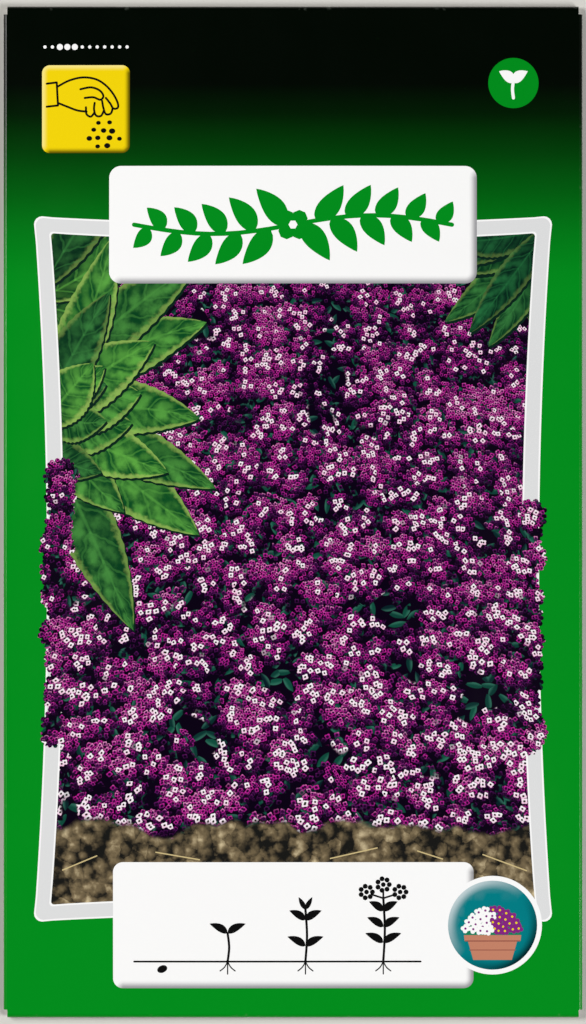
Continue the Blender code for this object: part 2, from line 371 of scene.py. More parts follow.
def inside(outline, points):
    """For each point, whether it lies inside the closed outline."""
    x, y = points[:, 0][:, None], points[:, 1][:, None]
    start, end = outline, np.roll(outline, -1, axis=0)
    above = (start[:, 1] > y) != (end[:, 1] > y)
    rise = np.where(end[:, 1] == start[:, 1], 1.0, end[:, 1] - start[:, 1])
    cross = (end[:, 0] - start[:, 0]) * (y - start[:, 1]) / rise + start[:, 0]
    return (above & (x < cross)).sum(1) % 2 == 1


def ray(middle, angle, across, up=None):
    """The point at this angle round the middle and this reach, which may differ upwards."""
    up = across if up is None else up
    return middle[0] + across * math.cos(angle), middle[1] + up * math.sin(angle)


def jitter(draw, point, across, up):
    """The point, moved at random by up to these reaches."""
    return point[0] + draw.uniform(-across, across), point[1] + draw.uniform(-up, up)


def arc(middle, radius, first, turn, steps):
    """Points along part of a circle, both ends among them."""
    return [ray(middle, first + turn * step / steps, radius) for step in range(steps + 1)]


def circle(middle, radius, steps=32, squash=1.0, turn=0.0):
    """Outline of a circle or, squashed and turned, of an oval."""
    points = []
    for step in range(steps):
        x, y = ray((0.0, 0.0), 2 * math.pi * step / steps, radius, radius * squash)
        points.append((
            middle[0] + x * math.cos(turn) - y * math.sin(turn),
            middle[1] + x * math.sin(turn) + y * math.cos(turn),
        ))
    return points


def rounded_box(middle, half, radius, inset=0.0, steps=8):
    """Outline of a box with round corners, drawn in by inset."""
    round_off = max(radius - inset, 0.05)
    points = []
    for corner, (side, end) in enumerate(((1, 1), (-1, 1), (-1, -1), (1, -1))):
        x = middle[0] + side * (half[0] - inset - round_off)
        y = middle[1] + end * (half[1] - inset - round_off)
        points += arc((x, y), round_off, math.pi / 2 * corner, math.pi / 2, steps)
    return points


def box_rim(middle, half, radius, width):
    """Shade of a rounded box's rim: below 0 where it faces up and left, above 0 opposite."""
    def shade(u, v):
        x, y = u - middle[0], v - middle[1]
        over = (abs(x) - half[0] + radius, abs(y) - half[1] + radius)
        out = (max(over[0], 0.0), max(over[1], 0.0))
        length = math.hypot(*out)
        depth = radius - length - min(max(over), 0.0)
        if length > 0.0:
            facing = (math.copysign(out[0], x) - math.copysign(out[1], y)) / length
        elif over[0] > over[1]:
            facing = math.copysign(1.0, x)
        else:
            facing = -math.copysign(1.0, y)
        return max(min(facing, 1.0), -1.0) * (1.0 - smooth_step(depth, 0.0, width))
    return shade


def disc_rim(middle, radius, width):
    """The same shade for a disc."""
    def shade(u, v):
        x, y = u - middle[0], v - middle[1]
        reach = max(math.hypot(x, y), 1e-6)
        facing = (x - y) / reach / math.sqrt(2)
        return facing * (1.0 - smooth_step(radius - reach, 0.0, width))
    return shade


def stroke(points, width):
    """Outlines of a line of this width: each stretch of it on its own, with round ends."""
    pieces = []
    for start, end in zip(points, points[1:]):
        along = math.atan2(end[1] - start[1], end[0] - start[0])
        far_end = arc(end, width / 2, along - math.pi / 2, math.pi, 6)
        near_end = arc(start, width / 2, along + math.pi / 2, math.pi, 6)
        pieces.append(far_end + near_end)
    return pieces


def curve(points, steps=6):
    """A smooth line through the points."""
    line = []
    ends = [points[0], *points, points[-1]]
    for before, start, end, after in zip(ends, ends[1:], ends[2:], ends[3:]):
        for step in range(steps):
            t = step / steps
            line.append(tuple(
                0.5 * (2 * b + (c - a) * t + (2 * a - 5 * b + 4 * c - d) * t * t
                       + (3 * b - 3 * c + d - a) * t ** 3)
                for a, b, c, d in zip(before, start, end, after)
            ))
    line.append(points[-1])
    return line


class Leaf:
    """A drawn leaf from its root to its tip, bent to one side, broadest below the middle."""

    def __init__(self, root, tip, width, bend=0.0, fullness=0.75, steps=12, scallop=0.0):
        self.root = Vector(root)
        self.along = Vector(tip) - self.root
        self.length = self.along.length
        self.side = Vector((-self.along.y, self.along.x)) / self.length
        self.width = width
        self.bend = bend
        self.fullness = fullness
        self.steps = steps
        self.scallop = scallop

    def half_width(self, share):
        return self.width / 2 * math.sin(math.pi * share ** self.fullness) ** 0.85

    def arch(self, share):
        return self.bend * 4 * share * (1 - share)

    def outline(self, shift=(0.0, 0.0)):
        left, right = [], []
        for step in range(self.steps + 1):
            share = step / self.steps
            middle = self.root + self.along * share + self.side * self.arch(share) + Vector(shift)
            half = self.half_width(share) * (1.0 + self.scallop * math.cos(step * math.pi))
            left.append(tuple(middle + self.side * half))
            right.append(tuple(middle - self.side * half))
        return right + left[-2:0:-1]

    def own(self, u, v):
        """Share along the leaf, and place across it from -1 to 1."""
        offset = Vector((u, v)) - self.root
        share = offset.dot(self.along) / self.length ** 2
        share = min(max(share, 0.02), 0.98)
        across = offset.dot(self.side) - self.arch(share)
        return share, max(min(across / max(self.half_width(share), 0.05), 1.2), -1.2)


class Artwork:
    """All printed shapes, the later ones over the earlier ones."""

    def __init__(self):
        self.shapes = []

    def add(self, outline, ink, **facts):
        self.shapes.append(Shape(outline, ink, **facts))

    def lines(self, points, width, ink):
        for piece in stroke(points, width):
            self.add(piece, ink)

    def leaf(self, root, tip, width, ink, bend=0.0):
        self.add(Leaf(root, tip, width, bend).outline(), ink)

    def floret(self, middle, radius, turn, ink, eye):
        """A small flower of four round petals with an eye."""
        for petal in range(4):
            centre = ray(middle, turn + math.pi / 2 * petal, radius * 0.55)
            self.add(circle(centre, radius * 0.52, 8), ink)
        self.add(circle(middle, radius * 0.28, 6), eye)

    def panel(self, place, ink, width):
        """A rounded panel with a softly shaded rim of this width."""
        self.add(
            rounded_box(**place),
            ink,
            shade=box_rim(**place, width=width),
            contours=[rounded_box(**place, inset=width * step / 4) for step in (1, 2, 3, 4)],
        )


PANEL_TOP = {"middle": (0.0, 46.1), "half": (29.5, 9.45), "radius": 1.9}
PANEL_BOTTOM = {"middle": (0.05, -66.35), "half": (28.95, 10.15), "radius": 1.6}
BUTTON = {"middle": (-33.25, 64.7), "half": (7.06, 7.06), "radius": 1.25}
BADGE_MIDDLE = (32.05, -66.35)
BADGE_RING = 7.94
BADGE_DISC = 7.16
EMBLEM_MIDDLE = (35.4, 68.9)
EMBLEM_RADIUS = 4.05
MONTHS_LEVEL = 74.7
GROUND = -72.2

FRAME_HALF_WIDTH = 41.6
FRAME_TOP = 47.5
FRAME_BOTTOM = -65.8
FRAME_BORDER = 2.75
FRAME_BOW = 2.1
FRAME_LINE = 0.28
FRAME_CURL = 1.3

# Ends of the straws on the soil
STRAWS = (
    ((-37.0, -57.5), (-31.5, -55.2)),
    ((-22.0, -54.6), (-15.0, -55.8)),
    ((6.0, -55.6), (13.5, -53.9)),
    ((20.0, -54.4), (24.0, -55.7)),
    ((30.5, -55.0), (37.5, -57.6)),
)

# Rows of pale leaves: base, how many, reach, first and last angle in degrees, width
LEAF_ROWS = (
    ((-41.0, 36.0), 5, 19.0, -24.0, 62.0, 9.0),
    ((-41.0, 16.0), 7, 24.0, -62.0, 66.0, 9.5),
    ((-41.0, 16.0), 6, 17.0, -48.0, 58.0, 9.0),
    ((-41.0, 16.0), 5, 10.5, -30.0, 50.0, 7.5),
)

# Lines of the drawn hand, from the middle of its sign: the cuff first, then what curves
HAND_CUFF = ((-6.3, 4.1), (-4.7, 4.3), (-4.5, 0.6), (-6.3, 0.4))
HAND_LINES = (
    ((-4.6, 3.6), (-2.7, 4.6), (-0.5, 5.1), (1.6, 4.8), (3.2, 3.8), (4.4, 2.4), (5.1, 1.0),
     (5.1, 0.2), (4.4, 0.1), (3.9, 0.9), (3.2, 1.8)),
    ((4.3, 0.2), (4.0, -0.7), (3.2, -0.8), (2.8, 0.2), (2.6, 1.3)),
    ((2.9, -0.2), (2.4, -1.1), (1.6, -1.0), (1.3, 0.0), (1.4, 1.0)),
    ((1.4, -0.5), (0.8, -1.2), (0.1, -0.8), (0.0, 0.3)),
    ((0.1, -0.4), (-1.4, -0.2), (-3.0, 0.4), (-4.5, 1.0)),
    ((-0.9, 3.2), (0.8, 3.5), (2.2, 3.0), (2.8, 2.1), (2.3, 1.5), (1.2, 1.9), (-0.2, 1.8)),
)


def bowed_box(inset):
    """Outline of the picture's border, whose sides bow inwards, drawn in by inset."""
    right = FRAME_HALF_WIDTH - inset
    top, bottom = FRAME_TOP - inset, FRAME_BOTTOM + inset
    corners = [(right, top), (-right, top), (-right, bottom), (right, bottom)]
    curl = max(FRAME_CURL - inset * 0.3, 0.3)
    points = []
    for corner, (inward_u, inward_v) in enumerate(((0, -1), (1, 0), (0, 1), (-1, 0))):
        start, end = corners[corner], corners[(corner + 1) % 4]
        middle = [place - math.copysign(curl, place) for place in start]
        points += arc(middle, curl, math.pi / 2 * corner, math.pi / 2, 4)
        depth = FRAME_BOW * (1.0 if inward_u else 0.6)
        for share in spaced(0.0, 1.0, 0, 28)[1:-1]:
            bow = depth * 4 * share * (1 - share)
            u, v = between(start, end, share)
            points.append((u + inward_u * bow, v + inward_v * bow))
    return points


def draw_picture(art, draw):
    """The bordered picture: a carpet of flowers with leaves at its upper corners."""
    art.add(bowed_box(0.0), "panel")
    art.add(bowed_box(FRAME_LINE), "frame")
    art.add(bowed_box(FRAME_BORDER - FRAME_LINE), "panel")
    window = np.array(bowed_box(FRAME_BORDER))
    art.add(window, "flowers")
    draw_leaf_clump(art, draw, window)
    draw_dark_leaves(art, draw, window)
    for straw in STRAWS:
        art.lines(straw, 0.2, "straw")


def draw_picture_leaf(art, leaf, shift, tone, window):
    """A leaf over its shifted shadow, both cut off at the picture's window."""
    art.add(leaf.outline(shift), "leaf_shadow", clip=window)
    art.add(leaf.outline(), "leaf", own=leaf.own, tone=tone, clip=window)


def draw_leaf_clump(art, draw, window):
    """Broad pale-edged leaves at the upper left, the lower ones behind the upper ones."""
    for base, count, reach, first, last, width in LEAF_ROWS:
        for number in range(count):
            angle = math.radians(first + (last - first) * number / (count - 1))
            angle += draw.uniform(-0.1, 0.1)
            stretch = 1.0 + 0.55 * abs(math.sin(angle))
            length = reach * stretch * draw.uniform(0.9, 1.1)
            root = jitter(draw, base, 1, 3)
            bend = draw.uniform(-1.6, 1.6)
            broad = width * draw.uniform(0.85, 1.1)
            leaf = Leaf(root, ray(root, angle, length), broad, bend, 0.95, 34, 0.025)
            draw_picture_leaf(art, leaf, (0.25, -0.36), draw.uniform(0.2, 1.0), window)


def draw_dark_leaves(art, draw, window):
    """A few darker leaves at the upper right."""
    count = 11
    for number in range(count):
        place = number * 5 % count
        angle = math.radians(178 + 92 * place / (count - 1))
        length = draw.uniform(13.0, 24.0)
        root = (40.5 + draw.uniform(-1.5, 1), 46.0 + draw.uniform(-1, 1))
        broad = draw.uniform(4.5, 6.0)
        bend = draw.uniform(-1, 1)
        leaf = Leaf(root, ray(root, angle, length), broad, bend, 0.9, 34, 0.03)
        draw_picture_leaf(art, leaf, (0.2, -0.4), draw.uniform(0.0, 0.3), window)


def draw_overhangs(art, draw):
    """Flower heads that grow out over the border on both sides."""
    for side, first, last in ((-1, -36.0, 8.0), (1, -37.0, 1.0)):
        v = first
        while v < last:
            radius = draw.uniform(1.5, 2.6)
            share = (FRAME_TOP - v) / (FRAME_TOP - FRAME_BOTTOM)
            edge = FRAME_HALF_WIDTH - FRAME_BORDER - FRAME_BOW * 4 * share * (1 - share)
            middle = (side * (edge + draw.uniform(0.2, 1.5)), v)
            art.add(circle(middle, radius, 20), "flowers")
            count = round(radius * 7)
            for number in range(count):
                angle = 2 * math.pi * number / count + draw.uniform(-0.1, 0.1)
                spot = ray(middle, angle, radius + draw.uniform(-0.1, 0.15))
                art.add(circle(spot, draw.uniform(0.35, 0.5), 8), "flowers")
            v += radius * draw.uniform(0.9, 2.0)


def draw_top_panel(art):
    """The upper white panel with a leafy spray."""
    art.panel(PANEL_TOP, "panel", 1.3)
    middle = PANEL_TOP["middle"]
    reach = 25.5
    stem = [
        (x, middle[1] + 1.5 * math.sin(math.pi * x / reach))
        for x in spaced(-reach, reach, 2.5)
    ]
    art.lines(stem, 0.7, "field_ink")
    lean = math.radians(52)
    for number, (x, y) in enumerate(stem[1:-1]):
        share = 1.0 - abs(x) / reach
        side = 1 if number % 2 else -1
        angle = side * lean if x > 0 else math.pi - side * lean
        tip = ray((x, y), angle, 3.8 + 4.0 * share)
        art.leaf((x, y), tip, 2.4 + 1.2 * share, "field_ink", bend=-0.35 * side)
    art.floret(middle, 2.6, math.pi / 4, "field_ink", "panel")


def draw_bottom_panel(art):
    """The lower white panel with a seed and three stages of growth in line."""
    art.panel(PANEL_BOTTOM, "panel", 1.3)
    art.lines([(-25.5, GROUND), (20.5, GROUND)], 0.3, "line")
    art.add(circle((-21.0, GROUND - 1.2), 0.85, 16, squash=0.7, turn=0.4), "line")
    for x, height, pairs in ((-10.5, 4.6, 1), (2.0, 8.4, 2), (14.5, 10.2, 3)):
        draw_plant(art, x, height, pairs)


def draw_plant(art, x, height, pairs):
    """A drawn plant on the ground, with roots and so many pairs of leaves."""
    top = (x, GROUND + height)
    art.lines(curve([(x, GROUND), (x + 0.25, GROUND + height / 2), top]), 0.38, "line")
    for root in (-1, 0, 1):
        end = (x + root * 1.2, GROUND - 1.5 - 0.5 * (root == 0))
        art.lines(curve([(x, GROUND), (x + root * 0.5, GROUND - 0.9), end], 4), 0.2, "line")
    for pair in range(pairs):
        y = GROUND + height * (1.0 if pairs == 1 else 0.3 + 0.5 * pair / (pairs - 1))
        for side in (-1, 1):
            tip = (x + side * (2.9 - 0.3 * pair), y + 1.5)
            art.leaf((x, y), tip, 1.25, "line", bend=side * 0.2)
    if pairs == 2:
        for side in (-1, 1):
            art.leaf(top, (x + side * 1.1, top[1] + 2.0), 0.8, "line")
    if pairs == 3:
        draw_bloom(art, top)


def draw_bloom(art, top):
    """Three drawn flowers at the top of a stem."""
    heads = ((0.0, 2.2), (-2.7, 1.0), (2.7, 1.0))
    for dx, dy in heads:
        art.lines([top, (top[0] + dx * 0.7, top[1] + dy * 0.6)], 0.3, "line")
    for dx, dy in heads:
        middle = (top[0] + dx, top[1] + dy)
        for petal in range(7):
            art.add(circle(ray(middle, 2 * math.pi * petal / 7, 0.95), 0.42, 8), "line")
        art.add(circle(middle, 0.4, 8), "line")


def draw_badge(art, draw):
    """The round badge: a low planter of white and purple flowers on teal."""
    x, y = BADGE_MIDDLE
    art.add(circle(BADGE_MIDDLE, BADGE_RING, 64), "panel")
    contours = [circle(BADGE_MIDDLE, BADGE_DISC - depth, 64) for depth in (0.4, 0.9, 1.4)]
    shade = disc_rim(BADGE_MIDDLE, BADGE_DISC, 1.7)
    art.add(circle(BADGE_MIDDLE, BADGE_DISC, 64), "badge", shade=shade, contours=contours)
    rim = y - 1.6
    art.add(circle((x, rim + 0.6), 4.6, 24, squash=0.5), "stem")
    for top_half, top, bottom_half, bottom in ((4.0, 0.8, 3.1, 4.0), (4.6, 0.0, 4.5, 0.9)):
        art.add([
            (x - top_half, rim - top), (x + top_half, rim - top),
            (x + bottom_half, rim - bottom), (x - bottom_half, rim - bottom),
        ], "clay")
    for half, drop, width in ((4.4, 0.95, 0.16), (3.7, 2.4, 0.12)):
        art.lines([(x - half, rim - drop), (x + half, rim - drop)], width, "clay_dark")
    for share in spaced(0.08, 0.92, 0, 13):
        art.leaf((x, rim), ray((x, rim + 0.4), math.pi * share, 5.6, 4.6), 0.55, "stem")
    for ring, count in ((4.2, 11), (3.1, 9), (2.0, 7), (0.9, 4)):
        for number in range(count):
            angle = math.pi * (0.02 + 0.96 * (number + 0.5) / count)
            spot = jitter(draw, ray((x, rim + 0.25), angle, ring * 1.05, ring * 0.92), 0.12, 0.12)
            ink, eye = ("panel", "badge_purple") if spot[0] < x else ("badge_purple", "button")
            art.floret(spot, 0.72, draw.uniform(0, 1.5), ink, eye)


def draw_button(art, draw):
    """The yellow sign: a hand that lets seeds fall."""
    art.panel(BUTTON, "button", 0.95)
    x, y = BUTTON["middle"]
    for line in (HAND_CUFF, *[curve(points) for points in HAND_LINES]):
        art.lines([(x + dx, y + dy) for dx, dy in line], 0.34, "line")
    for count, drop in ((2, -2.1), (3, -3.4), (4, -4.7), (2, -5.9)):
        for number in range(count):
            place = (x + 2.8 + (number - (count - 1) / 2) * 1.6, y + drop)
            spot = jitter(draw, place, 0.2, 0.15)
            art.add(circle(spot, draw.uniform(0.38, 0.52), 16, squash=0.85), "line")


def draw_emblem(art):
    """The small green disc with a white seedling."""
    x, y = EMBLEM_MIDDLE
    art.add(circle(EMBLEM_MIDDLE, EMBLEM_RADIUS, 48), "field_ink")
    art.lines(curve([(x, y - 2.4), (x - 0.15, y - 1.0), (x, y + 0.3)]), 0.5, "panel")
    for side in (-1, 1):
        art.leaf((x, y + 0.1), (x + side * 2.3, y + 1.9), 1.7, "panel", bend=side * 0.3)


def draw_months(art):
    """Twelve dots over the yellow sign, the larger ones for the months to sow in."""
    for month in range(12):
        spot = (BUTTON["middle"][0] + (month - 5.5) * 1.2, MONTHS_LEVEL)
        art.add(circle(spot, 0.5 if month in (2, 3, 4) else 0.27, 14), "panel")


def back_boxes():
    """Ink, ends across, ends up, radius and corner steps of each box that the back shows."""
    yield "panel", (-38.0, 38.0), (-56.0, 52.0), 2.0, 8
    for row, busy in enumerate((range(2, 5), range(3, 6), range(5, 10))):
        for month in range(12):
            left = -33.0 + month * 5.5
            ink = "field_ink" if month in busy else "frame"
            yield ink, (left + 0.25, left + 5.25), (30.5 - row * 6.0, 35.5 - row * 6.0), 0.3, 2
    for line in range(9):
        low = 8.0 - line * 4.2
        for left, right in ((-33.0, -8.0), (8.0, 33.0)):
            yield "frame", (left, right - line % 3 * 3.0), (low, low + 0.9), 0.3, 2


def draw_back(art, blank):
    """A plain white panel on the back with a sowing calendar and ruled bars."""
    start = blank.half_front + blank.side_arc
    edge = -blank.sizes["lap"] - blank.LAP_RAMP
    for side in (1, -1):
        for ink, ends, levels, radius, steps in back_boxes():
            if max(side * end for end in ends) <= edge:
                continue
            middle = (sum(ends) / 2, sum(levels) / 2)
            half = ((ends[1] - ends[0]) / 2, (levels[1] - levels[0]) / 2)
            box = rounded_box(middle, half, radius, steps=steps)
            art.add([(side * (start + blank.half_front - side * x), y) for x, y in box], ink)


def draw_all(blank):
    """Everything that is printed on the sheet, from its background up."""
    draw = random.Random(bpy.context.scene.flower_print.seed)
    art = Artwork()
    art.add(blank.outline(), "field")
    draw_back(art, blank)
    draw_picture(art, draw)
    draw_overhangs(art, draw)
    draw_top_panel(art)
    draw_bottom_panel(art)
    draw_badge(art, draw)
    draw_button(art, draw)
    draw_emblem(art)
    draw_months(art)
    return art


# Node trees


def formula(operation, swapped=False):
    """An operator that adds a math node to its value's tree."""
    def apply(self, other):
        values = (other, self) if swapped else (self, other)
        return self.nodes.math(operation, *values)
    return apply


class Value:
    """A number in a node tree, to be used in formulas."""

    def __init__(self, nodes, socket):
        self.nodes = nodes
        self.socket = socket

    __add__ = __radd__ = formula("ADD")
    __mul__ = __rmul__ = formula("MULTIPLY")
    __sub__ = formula("SUBTRACT")
    __rsub__ = formula("SUBTRACT", swapped=True)
    __truediv__ = formula("DIVIDE")


class Nodes:
    """A node tree, added to by short calls."""

    def __init__(self, tree):
        self.tree = tree

    def feed(self, socket, value):
        """Link another node's result to the socket, or set it to a plain value."""
        if isinstance(value, Value):
            value = value.socket
        if isinstance(value, bpy.types.NodeSocket):
            self.tree.links.new(value, socket)
        else:
            socket.default_value = value

    def add(self, kind, inputs=None, **settings):
        node = self.tree.nodes.new(kind)
        for name, value in settings.items():
            setattr(node, name, value)
        for name, value in (inputs or {}).items():
            self.feed(node.inputs[name], value)
        return node

    def math(self, operation, *values):
        node = self.add("ShaderNodeMath", operation=operation)
        for socket, value in zip(node.inputs, values):
            self.feed(socket, value)
        return Value(self, node.outputs[0])

    def join(self, x, y, z=0.0):
        return self.add("ShaderNodeCombineXYZ", {"X": x, "Y": y, "Z": z}).outputs[0]

    def parts(self, vector):
        node = self.add("ShaderNodeSeparateXYZ", {"Vector": vector})
        return [Value(self, socket) for socket in node.outputs]


class Graph(Nodes):
    """The nodes of one material; x and y are the place on the packet, in millimetres."""

    def __init__(self, name):
        self.material = bpy.data.materials.new(name)
        self.material.use_nodes = True
        super().__init__(self.material.node_tree)
        self.tree.nodes.clear()
        x, y, _ = self.parts(self.add("ShaderNodeTexCoord").outputs["Object"])
        self.x, self.y = x / MM, y / MM

    def step(self, value, start, end):
        """Rise smoothly from 0 to 1 as value goes from start to end."""
        inputs = {"Value": value, "From Min": start, "From Max": end}
        node = self.add("ShaderNodeMapRange", inputs, interpolation_type="SMOOTHSTEP")
        return Value(self, node.outputs[0])

    def limit(self, value, low=0.0, high=1.0):
        return self.math("MAXIMUM", self.math("MINIMUM", value, high), low)

    def mix(self, share, first, second):
        node = self.add("ShaderNodeMix", data_type="RGBA")
        for number, value in ((0, share), (6, first), (7, second)):
            self.feed(node.inputs[number], value)
        return node.outputs[2]

    def attribute(self, name):
        return Value(self, self.add("ShaderNodeAttribute", attribute_name=name).outputs["Fac"])

    def noise(self, size, detail=2.0, place=None):
        """Soft random values in patches of about this size."""
        vector = self.join(*(place or (self.x, self.y)))
        inputs = {"Vector": vector, "Scale": 1.0 / size, "Detail": detail}
        node = self.add("ShaderNodeTexNoise", inputs, noise_dimensions="2D")
        return Value(self, node.outputs[0])

    def cells(self, x, y, size, shift=0.0, randomness=1.0):
        """The nearest of points scattered at this spacing: its distance in spacings, its
        place, and three random shares of its own."""
        vector = self.join(x / size + shift, y / size + shift)
        inputs = {"Vector": vector, "Scale": 1.0, "Randomness": randomness}
        node = self.add("ShaderNodeTexVoronoi", inputs, voronoi_dimensions="2D")
        spot_x, spot_y, _ = self.parts(node.outputs["Position"])
        spot = ((spot_x - shift) * size, (spot_y - shift) * size)
        return Value(self, node.outputs["Distance"]), spot, self.parts(node.outputs["Color"])

    def bump(self, height, depth):
        return self.add("ShaderNodeBump", {"Height": height, "Distance": depth}).outputs[0]

    def surface(self, base, roughness, **inputs):
        """End the graph in a Principled shader."""
        inputs = {name.replace("_", " "): value for name, value in inputs.items()}
        inputs["Base Color"] = base
        inputs["Roughness"] = roughness
        shader = self.add("ShaderNodeBsdfPrincipled", inputs)
        self.add("ShaderNodeOutputMaterial", {"Surface": shader.outputs[0]})
        return self.material

    def printed(self, base):
        """Coated paper that carries this ink."""
        normal = self.bump(self.noise(0.35, 3.0), 0.002 * MM)
        gloss = 0.18 + self.noise(9.0) * 0.06
        return self.surface(base, gloss, Specular_IOR_Level=0.25, Normal=normal)


# Materials


# Level on the front in millimetres, and how far the green has come in there
FADE = (
    (35.2, 1.0), (38.4, 0.972), (44.8, 0.851), (51.1, 0.667), (57.5, 0.46), (63.8, 0.22),
    (68.6, 0.035),
)
FADE_REACH = 100.0

# Layers of florets: size, shift of their pattern, reach in a flower head, glow, crown or not
FLORET_LAYERS = (
    (1.1, 0.0, 0.84, -0.3, False),
    (0.98, 5.3, 0.56, 0.0, False),
    (0.9, 9.1, 0.46, 0.05, False),
    (1.18, 14.7, 0.5, 0.0, True),
)


def plain_ink(name, ink):
    """A flat ink, very slightly uneven."""
    graph = Graph(name)
    deeper = tuple(part * 0.9 for part in ink)
    return graph.printed(graph.mix(graph.noise(14.0) * 0.05, ink, deeper))


def rim_ink(name, ink, light, dark):
    """A flat ink with a lit and a shaded rim."""
    graph = Graph(name)
    shade = graph.attribute("shade")
    base = graph.mix(graph.limit(0.0 - shade), ink, light)
    return graph.printed(graph.mix(graph.limit(shade), base, dark))


def field_ink(name, ink, top):
    """The background: green that darkens towards the top, with white paper on worn folds."""
    graph = Graph(name)
    ramp = graph.add("ShaderNodeValToRGB", {"Fac": graph.y / (2 * FADE_REACH) + 0.5})
    stops = ramp.color_ramp.elements
    stops[1].color = (0.0, 0.0, 0.0, 1.0)
    for number, (level, share) in enumerate(FADE):
        position = level / (2 * FADE_REACH) + 0.5
        stop = stops.new(position) if number else stops[0]
        stop.position = position
        stop.color = (*[share ** 2.2] * 3, 1.0)
    base = graph.mix(ramp.outputs[0], top, ink)
    chips = graph.step(graph.noise(1.6, 5.0), 0.66, 0.8)
    return graph.printed(graph.mix(
        chips * graph.attribute("wear") * 0.12, base, colour(205, 216, 200)
    ))


def leaf_ink(name):
    """A printed leaf with veins and a pale margin, dark or light by its tone."""
    graph = Graph(name)
    along, across, _ = graph.parts(graph.add("ShaderNodeUVMap", uv_map="Art").outputs[0])
    tone = graph.attribute("tone")
    dark = graph.mix(tone, colour(2, 34, 24), colour(10, 82, 34))
    light = graph.mix(tone, colour(28, 102, 58), colour(98, 174, 68))
    side = graph.math("ABSOLUTE", across)
    bent = along * 7.5 - side * 1.1 + graph.noise(2.5) * 0.5
    ribs = graph.math("SINE", bent * (2 * math.pi)) * 0.5 + 0.5
    body = graph.noise(2.4, 5.0) * 1.5 + (1.0 - ribs) * 0.35 - side * 0.25
    base = graph.mix(graph.step(body, 0.45, 1.3), dark, light)
    slope = graph.step(across * 0.6 + graph.noise(4.0) - 0.5, -0.4, 0.6)
    base = graph.mix(slope * 0.6, base, dark)
    base = graph.mix((1.0 - graph.step(along, 0.0, 0.6)) * 0.8, base, colour(4, 26, 20))
    margin = graph.step(side + graph.noise(0.9) * 0.3, 0.86, 1.08) * (tone + 0.25)
    base = graph.mix(margin * 0.6, base, colour(160, 196, 96))
    vein = 1.0 - graph.step(side, 0.02, 0.08)
    side_vein = graph.step(ribs, 0.93, 0.995) * 0.35
    return graph.printed(graph.mix(graph.limit(vein * 0.5 + side_vein), base, light))


